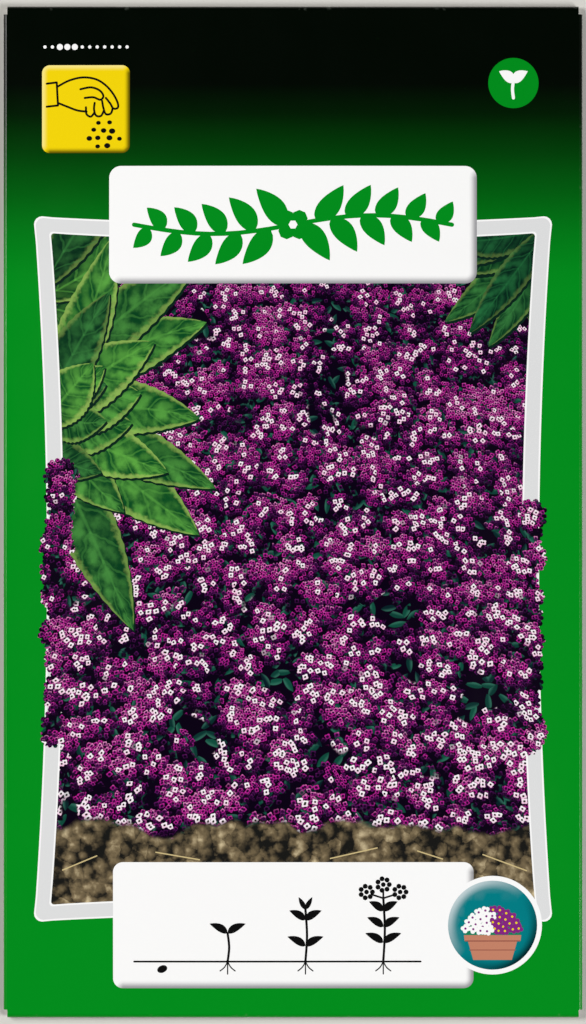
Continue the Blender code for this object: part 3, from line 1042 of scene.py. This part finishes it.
class Carpet(Graph):
    """The carpet of flower heads, which get smaller towards the top of the picture.

    across and along are the place on the level bed that the picture shows, in millimetres
    at its front, share is how far up the picture a point lies, and rise its height over the
    soil's edge.
    """

    def __init__(self, name, inks, sizes):
        super().__init__(name)
        self.inks = inks
        self.floret = sizes.floret / MM
        self.head = sizes.head / MM
        reach = FRAME_TOP - FRAME_BOTTOM
        shrink = 1.0 - sizes.far_size
        self.share = self.limit((self.y - FRAME_BOTTOM) / reach, -0.1, 1.1)
        scale = 1.0 - self.share * shrink
        wander = self.noise(7.0) - 0.5
        self.across = self.x / scale + wander * 1.4
        self.along = self.math("LOGARITHM", scale, math.e) * (-reach / shrink) + wander
        self.mounds = self.noise(11.0, 1.0)
        self.rise = self.y - (self.noise(9.0, place=(self.x, 7.0)) * 7.0 - 54.0)

    def leaves(self):
        """Small bluish leaves in the dark under the flowers."""
        _, spot, chance = self.cells(self.across, self.along, 2.7, 3.7)
        turn = chance[0] * (2 * math.pi)
        cosine, sine = self.math("COSINE", turn), self.math("SINE", turn)
        off_x, off_y = self.across - spot[0], self.along - spot[1]
        lengthwise = (off_x * cosine + off_y * sine) / 1.9
        sideways = (off_y * cosine - off_x * sine) / 0.62
        blade = self.math("ABSOLUTE", sideways) + lengthwise * lengthwise
        green = self.mix(chance[1], colour(4, 30, 38), self.inks["foliage"])
        green = self.mix(self.step(sideways, -0.2, 0.9) * 0.5, green, colour(70, 140, 118))
        shown = (1.0 - self.step(blade, 0.75, 1.05)) * 0.9
        return self.mix(shown, self.inks["shadow"], green)

    def soil(self, base):
        """Cloddy soil along the lower edge, over the base."""
        rough = self.noise(1.6, 8.0) * 1.3
        uneven = self.noise(1.3, 4.0, (self.y, self.x)) * 1.4
        distance, _, chance = self.cells(self.x + rough * 0.9, self.y + uneven, 2.1, 8.0)
        lump = (1.0 - distance) * 0.5 + chance[0] * 0.3 + rough * 0.75 + self.noise(9.0) * 0.6
        earth = self.mix(self.step(lump, 0.95, 1.5), colour(24, 24, 22), self.inks["soil"])
        earth = self.mix(self.step(lump, 1.35, 1.85) * 0.9, earth, colour(222, 204, 164))
        return self.mix(self.step(self.rise, 0.6, -0.8), base, earth)

    def florets(self, base, size, shift, spread, glow, crown):
        """One layer of four-petalled florets, gathered in round heads, over the base."""
        spacing = self.floret * size
        distance, spot, chance = self.cells(self.across, self.along, spacing, shift)
        head_distance, middle, head_chance = self.cells(*spot, self.head, 31.0, 0.85)
        aside, up = [(spot[axis] - middle[axis]) / self.head for axis in (0, 1)]
        off_x, off_y = self.across - spot[0], self.along - spot[1]
        relief = off_y / spacing
        angle = self.math("ARCTAN2", off_y, off_x) + chance[0] * (2 * math.pi)
        edge = 0.42 + self.math("COSINE", angle * 4.0) * 0.06
        shown = self.step(spread + chance[1] * 0.14 - head_distance, 0.0, 0.03)
        shown = shown * self.step(head_chance[1] * 0.6 + self.mounds, 0.42, 0.45)
        shown = shown * self.step(self.rise, -0.4, 0.6)
        if crown:
            from_crown = aside * aside + (up - 0.1) * (up - 0.1)
            room = chance[2] * 0.24 + head_chance[2] * 0.16 - self.share * 0.11 - 0.05
            shown = shown * self.step(room - from_crown, 0.0, 0.01)
            face = self.crown_face(distance, chance, relief)
        else:
            lit = 0.52 + up * 0.5 - head_distance * 0.45 + head_chance[0] * 0.42
            lit = self.limit(lit + (self.mounds - 0.5) * 1.3 + glow)
            face = self.flank_face(distance, chance, relief, lit)
        petal = 1.0 - self.step(distance, edge - 0.08, edge)
        hollow = 1.0 - self.step(distance, edge, edge + 0.16)
        base = self.mix(hollow * shown * 0.6, base, self.inks["shadow"])
        return self.mix(petal * shown, base, face)

    def crown_face(self, distance, chance, relief):
        """White petals, pinker in the shade and far off, round a dark green eye."""
        dusk = self.limit(chance[0] * 0.4 - relief * 0.9 + self.share * 0.3)
        petals = self.mix(dusk, self.inks["petal_white"], self.inks["pink"])
        return self.mix(self.step(distance, 0.11, 0.19), colour(40, 44, 26), petals)

    def flank_face(self, distance, chance, relief, lit):
        """Purple to pink petals, by how the head is lit, round a dim eye."""
        tone = self.limit(lit * 1.1 + chance[2] * 0.75 + relief * 0.5 - 0.4)
        petals = self.mix(self.limit(tone * 2.0), self.inks["shadow"], self.inks["purple"])
        petals = self.mix(self.limit(tone * 2.0 - 0.8), petals, self.inks["magenta"])
        pale = self.limit(lit * 1.4 + chance[0] * 0.6 + relief * 1.3 - 1.45)
        petals = self.mix(pale, petals, self.inks["pink"])
        eye = self.mix(lit * 0.4, self.inks["shadow"], self.inks["purple"])
        return self.mix(self.step(distance, 0.16, 0.27), eye, petals)


def flower_ink(name, inks, sizes):
    """The flower picture, from the ground up."""
    carpet = Carpet(name, inks, sizes)
    base = carpet.soil(carpet.leaves())
    for layer in FLORET_LAYERS:
        base = carpet.florets(base, *layer)
    return carpet.printed(base)


def seed_skin(name):
    """Reddish brown seed coat with a dull, finely pitted face."""
    graph = Graph(name)
    patch = graph.step(graph.noise(2.2, 1.0), 0.35, 0.65)
    base = graph.mix(patch, colour(120, 58, 22), colour(196, 124, 64))
    return graph.surface(base, 0.62, Normal=graph.bump(graph.noise(0.18, 3.0), 0.02 * MM))


def sachet_foil(name):
    """Satin aluminium foil, faintly wrinkled."""
    graph = Graph(name)
    wrinkle = graph.noise(5.0, 4.0)
    tint = graph.mix(wrinkle * 0.3, colour(226, 228, 230), colour(188, 190, 194))
    normal = graph.bump(wrinkle, 0.12 * MM)
    return graph.surface(tint, 0.26 + wrinkle * 0.12, Metallic=1.0, Normal=normal)


def dried_glue(name):
    """Dull cream glue."""
    graph = Graph(name)
    streak = graph.noise(1.5, 3.0, (graph.x, graph.y * 0.2))
    base = graph.mix(streak, colour(236, 226, 196), colour(214, 200, 160))
    return graph.surface(base, 0.45, Normal=graph.bump(streak, 0.03 * MM))


def bare_paper(name, screen):
    """Unprinted paper, such as the bag's inside and its cut edges."""
    graph = Graph(name)
    fibre = graph.noise(0.6, 4.0)
    base = graph.mix(fibre * 0.2, colour(*screen), colour(206, 202, 194))
    return graph.surface(base, 0.85, Normal=graph.bump(fibre, 0.01 * MM))


def pale_table(name):
    """The table's dull, faintly cloudy face."""
    graph = Graph(name)
    base = graph.mix(graph.noise(60.0) * 0.3, colour(214, 212, 206), colour(196, 194, 188))
    return graph.surface(base, 0.8)


def print_materials():
    """A material for each ink name that the drawing uses."""
    ink = inks()
    made = {
        "field": field_ink("field_print", ink["field"], ink["field_top"]),
        "panel": rim_ink("panel_print", ink["panel"], ink["panel"], ink["panel_shade"]),
        "leaf": leaf_ink("leaf_print"),
        "flowers": flower_ink("flower_print", ink, bpy.context.scene.flower_print),
        "field_ink": plain_ink("green_line_print", ink["field"]),
    }
    for name in ("button", "badge"):
        shades = [ink[name + shade] for shade in ("", "_light", "_dark")]
        made[name] = rim_ink(f"{name}_print", *shades)
    for name in ("frame", "line", "clay", "clay_dark"):
        made[name] = plain_ink(f"{name}_print", ink[name])
    for name, screen in (
        ("leaf_shadow", (6, 36, 26)),
        ("straw", (206, 186, 134)),
        ("stem", (22, 128, 92)),
        ("badge_purple", (132, 38, 128)),
    ):
        made[name] = plain_ink(f"{name}_print", colour(*screen))
    return made


# The paper bag


# Where each part of the sheet starts in its colour chart, and a millimetre's share of it there
CHART_FRONT = (0.003, 0.005)
CHART_WINGS = {1: (0.785, 0.004), -1: (0.58, 0.004)}
CHART_FLAPS = {1: (0.585, 0.635), -1: (0.585, 0.71)}
CHART_INSIDE = (0.585, 0.765)
CHART_EDGES = (0.86, 0.655)
FRONT_SCALE = 1 / 167
WING_SCALE = 0.00385
FLAP_SCALE = 0.0042
INSIDE_SCALE = 0.0012
EDGE_COLUMNS = 20
EDGE_STEP = 0.0065


def add_object(name, data):
    """A new object in the scene."""
    made = bpy.data.objects.new(name, data)
    bpy.context.collection.objects.link(made)
    return made


def chart(blank, u, v, middle_u, middle_v):
    """Place of a printed point in the unfolded colour chart, by the panel it is on."""
    side = blank.half_front + blank.side_arc
    end = blank.half_body + blank.end_arc
    if abs(middle_v) > end:
        left, low = CHART_FLAPS[round(math.copysign(1, middle_v))]
        return left + (u + blank.half_front) * FLAP_SCALE, low + (abs(v) - end) * FLAP_SCALE
    if abs(middle_u) > side:
        left, low = CHART_WINGS[round(math.copysign(1, middle_u))]
        return left + (abs(u) - side) * WING_SCALE, low + (v + blank.half_back) * WING_SCALE
    return CHART_FRONT[0] + (u + side) * FRONT_SCALE, CHART_FRONT[1] + (v + end) * FRONT_SCALE


def inside_chart(blank, u, v):
    """Place of a point of the unprinted side in the colour chart."""
    far = blank.half_front + blank.side_arc + blank.wing
    tall = blank.half_body + blank.end_arc + blank.sizes["bottom_flap"]
    return CHART_INSIDE[0] + (u + far) * INSIDE_SCALE, CHART_INSIDE[1] + (v + tall) * INSIDE_SCALE


def edge_chart(number):
    """Places in the colour chart of one face of the cut edge, in a small square of its own."""
    left = CHART_EDGES[0] + EDGE_STEP * (number % EDGE_COLUMNS)
    low = CHART_EDGES[1] + EDGE_STEP * (number // EDGE_COLUMNS)
    size = EDGE_STEP * 0.7
    return [left, low, left + size, low, left + size, low + size, left, low + size]


def cut_sheet(blank, art, cell):
    """Cut the blank into triangles along every printed outline.

    Gives the flat points, the triangles, their middles, and the shape that each shows.
    """
    points, edges = [], []
    for line in [line for shape in art.shapes for line in (shape.outline, *shape.contours)]:
        first = len(points)
        for start, end in zip(line, np.roll(line, -1, axis=0)):
            parts = max(1, math.ceil(math.dist(start, end) / cell))
            points += [tuple(start + (end - start) * part / parts) for part in range(parts)]
        count = len(points) - first
        edges += [(first + k, first + (k + 1) % count) for k in range(count)]
    drawn = KDTree(len(points))
    for number, (u, v) in enumerate(points):
        drawn.insert((u, v, 0.0), number)
    drawn.balance()
    clear = 0.1
    points += [(u, v) for u, v in blank.grid(cell) if drawn.find((u, v, 0.0))[2] > clear]
    places, _, triangles, *_ = delaunay_2d_cdt(
        [Vector(point) for point in points], edges, [], 0, 1e-5, False
    )
    flat = np.array([tuple(place) for place in places])
    triangles = np.array([list(triangle) for triangle in triangles])
    middles = flat[triangles].mean(axis=1)
    kept = np.array([blank.keep(*middle) for middle in middles])
    triangles, middles = triangles[kept], middles[kept]
    owner = np.zeros(len(triangles), int)
    for number, shape in enumerate(art.shapes):
        low, high = shape.outline.min(axis=0), shape.outline.max(axis=0)
        near = np.flatnonzero(((middles > low) & (middles < high)).all(axis=1))
        near = near[inside(shape.outline, middles[near])]
        if shape.clip is not None and len(near):
            near = near[inside(shape.clip, middles[near])]
        owner[near] = number
    return flat, triangles, middles, [art.shapes[number] for number in owner]


def rim_faces(triangles, count):
    """Faces that join the printed and the unprinted side along the sheet's cut edge."""
    edges = {(a, b) for x, y, z in triangles.tolist() for a, b in ((x, y), (y, z), (z, x))}
    outer = sorted(edge for edge in edges if edge[::-1] not in edges)
    return [(b, a, a + count, b + count) for a, b in outer]


def paper_sheet(blank, art, cell):
    """The folded, printed sheet as a thin solid."""
    flat, triangles, middles, shown = cut_sheet(blank, art, cell)
    spots = np.array([blank.place(u, v) for u, v in flat])
    normals = np.array([blank.normal(u, v) for u, v in flat])
    half = blank.sizes["paper"] / 2
    points = np.vstack((spots + normals * half, spots - normals * half)) * MM
    count = len(flat)
    rims = rim_faces(triangles, count)
    mesh = bpy.data.meshes.new("bag_sheet")
    faces = [*triangles.tolist(), *(triangles[:, ::-1] + count).tolist(), *rims]
    mesh.from_pydata(points.tolist(), [], faces)

    materials = print_materials()
    names = list(materials)
    plain = (bare_paper("inner_paper", (236, 234, 228)), bare_paper("cut_paper", (240, 238, 232)))
    for material in (*materials.values(), *plain):
        mesh.materials.append(material)
    slots = [names.index(shape.ink) for shape in shown]
    slots += [len(names)] * len(triangles) + [len(names) + 1] * len(rims)
    mesh.polygons.foreach_set("material_index", slots)
    wear = [blank.wear(u, v) for u, v in flat]
    mesh.attributes.new("wear", "FLOAT", "POINT").data.foreach_set("value", wear + wear)

    charts, own, shade, tone, facing = [], [], [], [], []
    for corners, middle, shape in zip(triangles, middles, shown):
        for corner in corners:
            u, v = flat[corner]
            charts += chart(blank, u, v, *middle)
            own += shape.own(u, v)
            shade.append(shape.shade(u, v))
            tone.append(shape.tone)
            facing.append(normals[corner])
    for corner in triangles[:, ::-1].flat:
        charts += inside_chart(blank, *flat[corner])
        facing.append(-normals[corner])
    for number in range(len(rims)):
        charts += edge_chart(number)
        facing += [mesh.polygons[2 * len(triangles) + number].normal] * 4
    unprinted = [0.0] * (len(facing) - len(shade))
    mesh.uv_layers.new(name="OFBake").data.foreach_set("uv", charts)
    mesh.uv_layers.new(name="Art").data.foreach_set("uv", own + unprinted * 2)
    for name, values in (("shade", shade), ("tone", tone)):
        data = mesh.attributes.new(name, "FLOAT", "CORNER").data
        data.foreach_set("value", values + unprinted)
    mesh.shade_smooth()
    mesh.normals_split_custom_set([tuple(normal) for normal in facing])
    return add_object("bag_sheet", mesh)


# The sachet and its seeds


class Foil:
    """The sachet's foil: flat places, and where they lie once it is folded and filled."""

    THICKNESS = 0.15
    FOLD = 0.15
    FLOOR = 1.0
    SWELL = 1.45
    PLATEAU = 0.62
    SQUARENESS = 4.0
    CELL = 0.35
    WIDE_CELL = 2.0
    FOLD_STEPS = 6
    RIB_PITCH = 2.1
    RIB_HEIGHT = 0.05

    def __init__(self, sizes):
        self.half_width = sizes["sachet_width"] / 2
        self.half_length = sizes["sachet_length"] / 2
        self.room_x = self.half_width - sizes["seal"]
        self.room_y = self.half_length - sizes["seal"]
        self.half_arc = math.pi * self.FOLD / 2
        self.run = 2 * self.half_length - self.FOLD - self.THICKNESS / 2

    def fullness(self, x, y):
        power = self.SQUARENESS
        out = (abs(x / self.room_x) ** power + abs(y / self.room_y) ** power) ** (1 / power)
        return 1.0 - smooth_step(out, self.PLATEAU, 1.0)

    def place(self, u, v):
        fold_y = self.FOLD + self.THICKNESS / 2 - self.half_length
        past = abs(v) - self.half_arc
        if past < 0:
            turn = v / self.FOLD
            y = fold_y - self.FOLD * math.cos(turn)
            return u, y, self.FLOOR + self.FOLD * (1.0 + math.sin(turn))
        y = fold_y + past
        if v < 0:
            return u, y, self.FLOOR
        return u, y, self.FLOOR + 2 * self.FOLD + self.SWELL * self.fullness(u, y)


def settle(piece):
    """Turn the piece, with its modifiers, into a plain mesh."""
    graph = bpy.context.evaluated_depsgraph_get()
    mesh = bpy.data.meshes.new_from_object(piece.evaluated_get(graph))
    piece.modifiers.clear()
    piece.data = mesh
    mesh.name = piece.name


class Tree(Nodes):
    """A geometry node tree with named inputs."""

    def __init__(self, name, **values):
        super().__init__(bpy.data.node_groups.new(name, "GeometryNodeTree"))
        face = self.tree.interface
        for way in ("INPUT", "OUTPUT"):
            face.new_socket("Geometry", in_out=way, socket_type="NodeSocketGeometry")
        self.values = {}
        for key, value in values.items():
            kind = "NodeSocketInt" if isinstance(value, int) else "NodeSocketFloat"
            label = key.replace("_", " ").capitalize()
            socket = face.new_socket(label, in_out="INPUT", socket_type=kind)
            self.values[socket.identifier] = value
        self.given = self.add("NodeGroupInput").outputs

    def apply(self, piece, geometry, material):
        """Run the tree, which ends with this geometry, on the piece, and keep its result."""
        real = self.add("GeometryNodeRealizeInstances", {"Geometry": geometry})
        inputs = {"Geometry": real.outputs[0], "Material": material}
        done = self.add("GeometryNodeSetMaterial", inputs)
        self.tree.links.new(done.outputs[0], self.add("NodeGroupOutput").inputs[0])
        modifier = piece.modifiers.new(self.tree.name, "NODES")
        modifier.node_group = self.tree
        for identifier, value in self.values.items():
            modifier[identifier] = value
        settle(piece)


def ribbed_foil(sizes):
    """The sachet, with fine ribs pressed into its sealed rim."""
    foil = Foil(sizes)
    across = spaced(-foil.half_width, foil.half_width, foil.WIDE_CELL)
    front = spaced(foil.half_arc, foil.half_arc + foil.run, foil.CELL)
    fold = spaced(-foil.half_arc, foil.half_arc, 0, foil.FOLD_STEPS)[1:-1]
    along = [-v for v in reversed(front)] + fold + front
    columns = len(across)
    faces = [
        (k, k + 1, k + columns + 1, k + columns)
        for row in range(len(along) - 1)
        for k in range(row * columns, row * columns + columns - 1)
    ]
    mesh = bpy.data.meshes.new("foil_sachet")
    points = [[part * MM for part in foil.place(u, v)] for v in along for u in across]
    mesh.from_pydata(points, [], faces)
    mesh.shade_smooth()
    piece = add_object("foil_sachet", mesh)

    ribs = Tree(
        "Seal ribs",
        half_width=foil.room_x * MM,
        half_length=foil.room_y * MM,
        pitch=foil.RIB_PITCH * MM,
        height=foil.RIB_HEIGHT * MM,
    )
    geometry, half_width, half_length, pitch, height, _ = ribs.given
    x, y, _ = ribs.parts(ribs.add("GeometryNodeInputPosition").outputs[0])
    beyond = [
        ribs.math("GREATER_THAN", ribs.math("ABSOLUTE", part), limit)
        for part, limit in ((x, half_width), (y, half_length))
    ]
    rise = ribs.math("SINE", y / pitch * (2 * math.pi)) * height
    offset = ribs.join(0.0, 0.0, rise * ribs.math("MAXIMUM", *beyond))
    moved = ribs.add("GeometryNodeSetPosition", {"Geometry": geometry, "Offset": offset})
    ribs.apply(piece, moved.outputs[0], sachet_foil("sachet_foil"))

    wall = piece.modifiers.new("Foil thickness", "SOLIDIFY")
    wall.thickness = foil.THICKNESS * MM
    wall.offset = 0.0
    settle(piece)
    return piece


SEED_LEVEL = 1.875
SEED_PATCH = 0.56
SEED_LENGTH = 1.9
SEED_SHAPE = (1.0, 0.74, 0.54)
SEED_TILT = 0.12
SEED_LEAST = 0.82
SEED_MOST = 1.05


def scattered_seeds(sizes):
    """Small flat seeds that lie in the sachet, each turned its own way."""
    foil = Foil(sizes)
    mesh = bpy.data.meshes.new("seed_fill")
    points = []
    for corner in circle((0.0, 0.0), 1.0, 48):
        x, y = [math.copysign(abs(part) ** 0.5, part) * SEED_PATCH * MM for part in corner]
        points.append((x * foil.room_x, y * foil.room_y, SEED_LEVEL * MM))
    mesh.from_pydata(points, [], [tuple(range(len(points)))])
    piece = add_object("seed_fill", mesh)

    seeds = Tree(
        "Seeds",
        gap=sizes["seed_gap"] * MM,
        length=SEED_LENGTH * MM,
        seed=bpy.context.scene.flower_print.seed,
    )
    geometry, gap, length, seed, _ = seeds.given
    inputs = {"Mesh": geometry, "Distance Min": gap, "Density Max": 1.0e6, "Seed": seed}
    points = seeds.add(
        "GeometryNodeDistributePointsOnFaces", inputs, distribute_method="POISSON"
    )
    ball = seeds.add("GeometryNodeMeshIcoSphere", {"Radius": 0.5, "Subdivisions": 3})
    inputs = {"Geometry": ball.outputs[0], "Scale": SEED_SHAPE}
    flat = seeds.add("GeometryNodeTransform", inputs)
    smooth = seeds.add("GeometryNodeSetShadeSmooth", {"Geometry": flat.outputs[0]})
    inputs = {"Min": (-SEED_TILT, -SEED_TILT, 0.0), "Max": (SEED_TILT, SEED_TILT, 2 * math.pi)}
    turn = seeds.add("FunctionNodeRandomValue", inputs, data_type="FLOAT_VECTOR")
    size = seeds.add("FunctionNodeRandomValue", data_type="FLOAT")
    size.inputs[2].default_value = SEED_LEAST
    size.inputs[3].default_value = SEED_MOST
    inputs = {
        "Points": points.outputs["Points"],
        "Instance": smooth.outputs[0],
        "Rotation": turn.outputs[0],
        "Scale": seeds.math("MULTIPLY", size.outputs[1], length),
    }
    placed = seeds.add("GeometryNodeInstanceOnPoints", inputs)
    seeds.apply(piece, placed.outputs[0], seed_skin("seed_skin"))
    return piece


# The stage


TABLE_LEVEL = -0.00003
TABLE_STEPS = 64
# Radius and height of the table and of the wall that it curves up into
TABLE_PROFILE = ((0.8, 0.0), (2.6, 0.0), (2.95, 0.06), (3.15, 0.2), (3.25, 0.45), (3.25, 2.2))
LIGHT_SIZE = 0.5
# Name, place, power and tint of each light
LIGHTS = (
    ("left_light", (-0.75, 0.25, 0.75), 9.3, (1.0, 0.99, 0.97)),
    ("right_light", (0.75, -0.35, 0.75), 8.8, (1.0, 1.0, 1.0)),
)
ROOM_COLOUR = (0.9, 0.94, 1.0, 1.0)
ROOM_LIGHT = 0.035
CAMERA_HEIGHT = 1.0
CAMERA_MARGIN = 1.01
SENSOR = 36.0


def round_table():
    """A pale table that curves up into a pale wall all round."""
    form = bmesh.new()
    rings = [
        [
            form.verts.new((x, y, TABLE_LEVEL + rise))
            for x, y in circle((0.0, 0.0), reach, TABLE_STEPS)
        ]
        for reach, rise in TABLE_PROFILE
    ]
    form.faces.new(rings[0])
    for low, high in zip(rings, rings[1:]):
        for k in range(TABLE_STEPS):
            after = (k + 1) % TABLE_STEPS
            form.faces.new((low[k], high[k], high[after], low[after]))
    bmesh.ops.recalc_face_normals(form, faces=form.faces)
    mesh = bpy.data.meshes.new("table")
    form.to_mesh(mesh)
    form.free()
    mesh.shade_smooth()
    mesh.materials.append(pale_table("pale_table"))
    return add_object("table", mesh)


def add_light(name, place, power, tint):
    """A soft square light that faces the packet."""
    data = bpy.data.lights.new(name, "AREA")
    data.size = LIGHT_SIZE
    data.energy = power
    data.color = tint
    light = add_object(name, data)
    light.location = place
    light.rotation_euler = (-Vector(place)).to_track_quat("-Z", "Y").to_euler()


# Buttons


class PacketPiece:
    """What every button of the panel shares."""

    bl_options = {"REGISTER", "UNDO"}


class PACKET_OT_bag(PacketPiece, bpy.types.Operator):
    """Draw the printing, cut the sheet along it, and fold it into the bag"""

    bl_idname = "packet.bag"
    bl_label = "Paper bag"

    def execute(self, context):
        sizes = sizes_mm()
        blank = Blank(sizes)
        cell = sizes["cell"] * 1.0
        sheet = paper_sheet(blank, draw_all(blank), cell)
        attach(sheet, ROOT)
        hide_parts("paper_bag")
        return {"FINISHED"}


class PACKET_OT_glue(PacketPiece, bpy.types.Operator):
    """Give the three glue lines their dull cream finish"""

    bl_idname = "packet.glue"
    bl_label = "Glue lines"

    def execute(self, context):
        material = dried_glue("dried_glue")
        for name in ("seam_glue", "bottom_glue", "flap_glue"):
            for place in frame["nodes"][name].material_slots:
                place.material = material
        return {"FINISHED"}


class PACKET_OT_sachet(PacketPiece, bpy.types.Operator):
    """Fold the foil sachet and press the ribs into its seals"""

    bl_idname = "packet.sachet"
    bl_label = "Sachet"

    def execute(self, context):
        foil = ribbed_foil(sizes_mm())
        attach(foil, ROOT)
        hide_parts("seed_sachet")
        return {"FINISHED"}


class PACKET_OT_seeds(PacketPiece, bpy.types.Operator):
    """Scatter the seeds in the sachet"""

    bl_idname = "packet.seeds"
    bl_label = "Seeds"

    def execute(self, context):
        seeds = scattered_seeds(sizes_mm())
        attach(seeds, ROOT)
        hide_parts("seeds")
        return {"FINISHED"}


class PACKET_OT_stage(PacketPiece, bpy.types.Operator):
    """Set the table, the lights and the camera straight over the packet"""

    bl_idname = "packet.stage"
    bl_label = "Table, lights and camera"

    def execute(self, context):
        scene = context.scene
        scene.view_settings.view_transform = "Standard"
        table = round_table()
        table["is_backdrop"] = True
        for light in LIGHTS:
            add_light(*light)
        scene.world = bpy.data.worlds.new("room")
        scene.world.use_nodes = True
        background = scene.world.node_tree.nodes["Background"]
        background.inputs["Color"].default_value = ROOM_COLOUR
        background.inputs["Strength"].default_value = ROOM_LIGHT

        low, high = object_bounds()
        data = bpy.data.cameras.new("camera")
        data.sensor_fit = "AUTO"
        data.sensor_width = SENSOR
        data.lens = SENSOR * CAMERA_HEIGHT / ((high.y - low.y) * CAMERA_MARGIN)
        scene.camera = add_object("camera", data)
        scene.camera.location = (0.0, (high.y + low.y) / 2, CAMERA_HEIGHT + high.z)
        return {"FINISHED"}


BUTTONS = (
    PACKET_OT_bag,
    PACKET_OT_glue,
    PACKET_OT_sachet,
    PACKET_OT_seeds,
    PACKET_OT_stage,
)


class PACKET_PT_panel(bpy.types.Panel):
    """The packet's sizes, inks and buttons"""

    bl_idname = "PACKET_PT_panel"
    bl_label = "Seed packet"
    bl_space_type = "VIEW_3D"
    bl_region_type = "UI"
    bl_category = "Packet"

    def draw(self, context):
        layout = self.layout
        scene = context.scene
        for title, group in (
            ("Sizes", scene.packet_sizes),
            ("Flower picture", scene.flower_print),
            ("Inks", scene.print_colours),
        ):
            box = layout.box()
            box.label(text=title)
            for name in type(group).__annotations__:
                box.prop(group, name)
        for button in BUTTONS:
            layout.operator(button.bl_idname)


GROUPS = (
    ("packet_sizes", PacketSizes),
    ("print_colours", PrintColours),
    ("flower_print", FlowerPrint),
)


def register():
    for name, group in GROUPS:
        bpy.utils.register_class(group)
        setattr(bpy.types.Scene, name, bpy.props.PointerProperty(type=group))
    for item in (*BUTTONS, PACKET_PT_panel):
        bpy.utils.register_class(item)


def unregister():
    for item in reversed((*BUTTONS, PACKET_PT_panel)):
        bpy.utils.unregister_class(item)
    for name, group in reversed(GROUPS):
        delattr(bpy.types.Scene, name)
        bpy.utils.unregister_class(group)


def main():
    """Make every piece and the stage."""
    register()
    bpy.ops.packet.bag()
    bpy.ops.packet.glue()
    bpy.ops.packet.sachet()
    bpy.ops.packet.seeds()
    bpy.ops.packet.stage()


if __name__ == "__main__":
    main()
